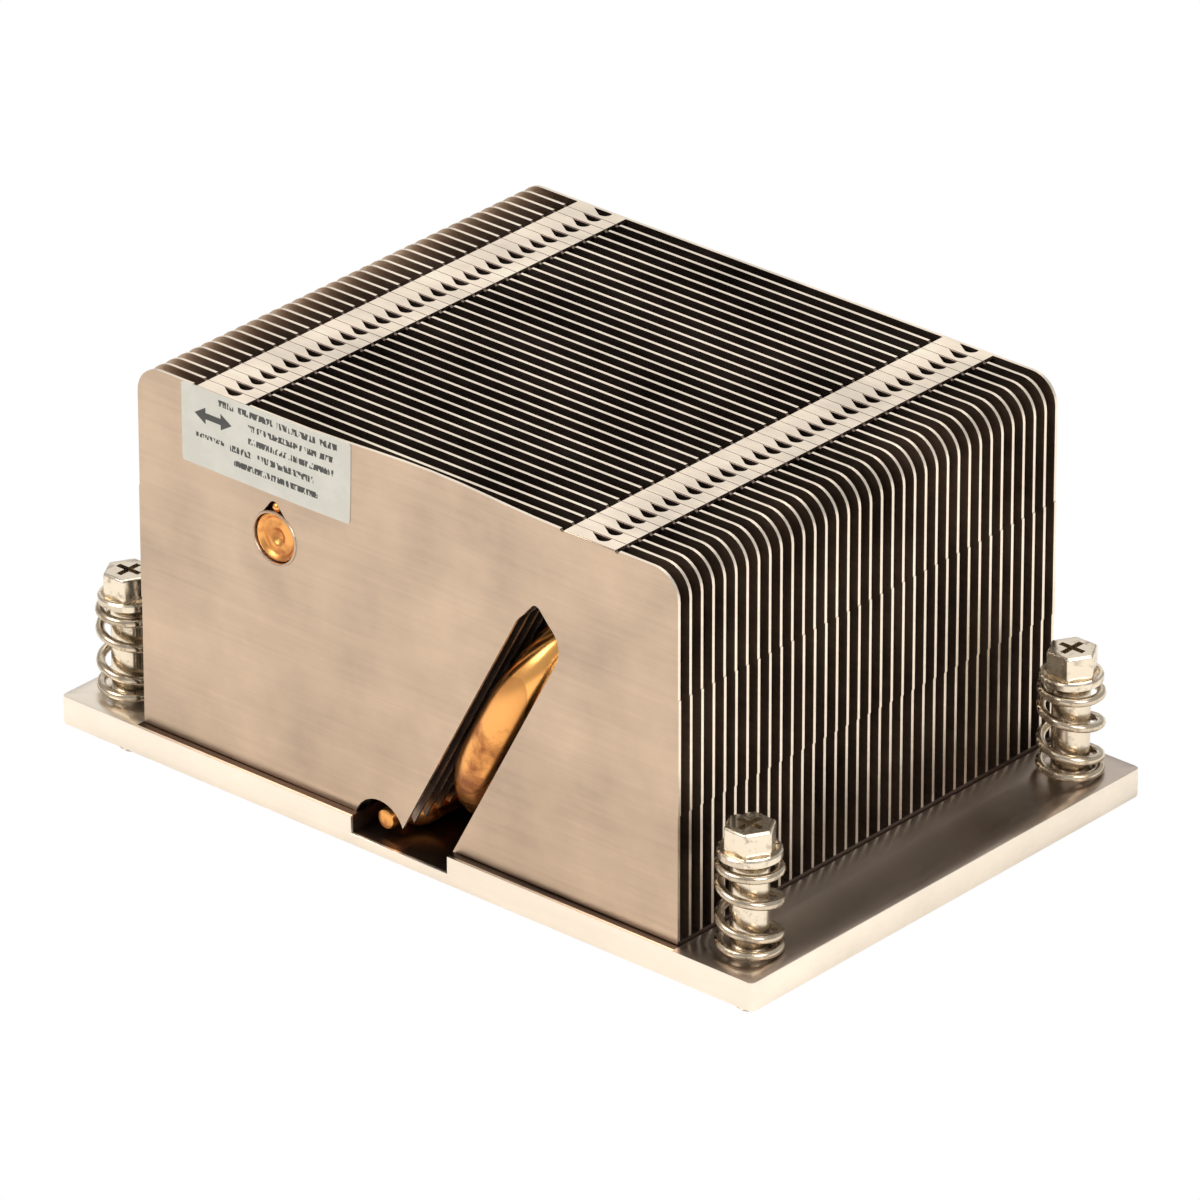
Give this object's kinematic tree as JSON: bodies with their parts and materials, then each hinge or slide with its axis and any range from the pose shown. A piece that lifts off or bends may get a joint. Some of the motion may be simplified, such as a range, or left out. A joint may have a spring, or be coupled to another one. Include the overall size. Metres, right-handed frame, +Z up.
{
  "type": "passive server cpu heatsink",
  "caption": "Passive finned CPU heatsink for a narrow server socket, with two bent heat pipes on an aluminium base and spring-loaded captive screws.",
  "frame": {"origin": "centre of the underside that lies on the processor", "axes": "+X along the fins, +Y across the stack to the back, +Z up; the label is on the front fin, which faces -Y"},
  "size_m": [0.105, 0.068, 0.0533],
  "materials": {
    "base_plate": "milled, satin",
    "fin": "rolled sheet, satin with fine grain",
    "copper": "bare copper tube, slightly tarnished",
    "screw": "nickel plated steel",
    "spring": "nickel plated spring wire",
    "retaining_ring": "spring steel",
    "label": "pale satin film"
  },
  "bodies": {
    "heatsink": {"base_plate": "base_plate", "fin_01": "fin", "fin_02": "fin", "fin_03": "fin", "fin_04": "fin", "fin_05": "fin", "fin_06": "fin", "fin_07": "fin", "fin_08": "fin", "fin_09": "fin", "fin_10": "fin", "fin_11": "fin", "fin_12": "fin", "fin_13": "fin", "fin_14": "fin", "fin_15": "fin", "fin_16": "fin", "fin_17": "fin", "fin_18": "fin", "fin_19": "fin", "fin_20": "fin", "fin_21": "fin", "fin_22": "fin", "fin_23": "fin", "fin_24": "fin", "fin_25": "fin", "fin_26": "fin", "fin_27": "fin", "fin_28": "fin", "fin_29": "fin", "fin_30": "fin", "fin_31": "fin", "fin_32": "fin", "fin_33": "fin", "fin_34": "fin", "fin_35": "fin", "heat_pipe_front": "copper", "heat_pipe_back": "copper", "label": "label", "spring_front_left": "spring", "spring_front_right": "spring", "spring_back_left": "spring", "spring_back_right": "spring"},
    "ring_front_left": {"retaining_ring_front_left": "retaining_ring"},
    "screw_front_left": {"screw_front_left": "screw"},
    "ring_front_right": {"retaining_ring_front_right": "retaining_ring"},
    "screw_front_right": {"screw_front_right": "screw"},
    "ring_back_left": {"retaining_ring_back_left": "retaining_ring"},
    "screw_back_left": {"screw_back_left": "screw"},
    "ring_back_right": {"retaining_ring_back_right": "retaining_ring"},
    "screw_back_right": {"screw_back_right": "screw"}
  },
  "joints": [
    {"name": "screw_press_front_left", "type": "slide", "parent": "heatsink", "child": "ring_front_left", "axis": [0, 0, -1], "range_m": [0, 0.0045], "stiffness_N_per_m": 10000, "deforming": ["spring_front_left"]},
    {"name": "screw_turn_front_left", "type": "hinge", "parent": "ring_front_left", "child": "screw_front_left", "pos_m": [-0.047, -0.028, 0], "axis": [0, 0, 1], "continuous": true},
    {"name": "screw_press_front_right", "type": "slide", "parent": "heatsink", "child": "ring_front_right", "axis": [0, 0, -1], "range_m": [0, 0.0045], "stiffness_N_per_m": 10000, "deforming": ["spring_front_right"]},
    {"name": "screw_turn_front_right", "type": "hinge", "parent": "ring_front_right", "child": "screw_front_right", "pos_m": [0.047, -0.028, 0], "axis": [0, 0, 1], "continuous": true},
    {"name": "screw_press_back_left", "type": "slide", "parent": "heatsink", "child": "ring_back_left", "axis": [0, 0, -1], "range_m": [0, 0.0045], "stiffness_N_per_m": 10000, "deforming": ["spring_back_left"]},
    {"name": "screw_turn_back_left", "type": "hinge", "parent": "ring_back_left", "child": "screw_back_left", "pos_m": [-0.047, 0.028, 0], "axis": [0, 0, 1], "continuous": true},
    {"name": "screw_press_back_right", "type": "slide", "parent": "heatsink", "child": "ring_back_right", "axis": [0, 0, -1], "range_m": [0, 0.0045], "stiffness_N_per_m": 10000, "deforming": ["spring_back_right"]},
    {"name": "screw_turn_back_right", "type": "hinge", "parent": "ring_back_right", "child": "screw_back_right", "pos_m": [0.047, 0.028, 0], "axis": [0, 0, 1], "continuous": true}
  ]
}
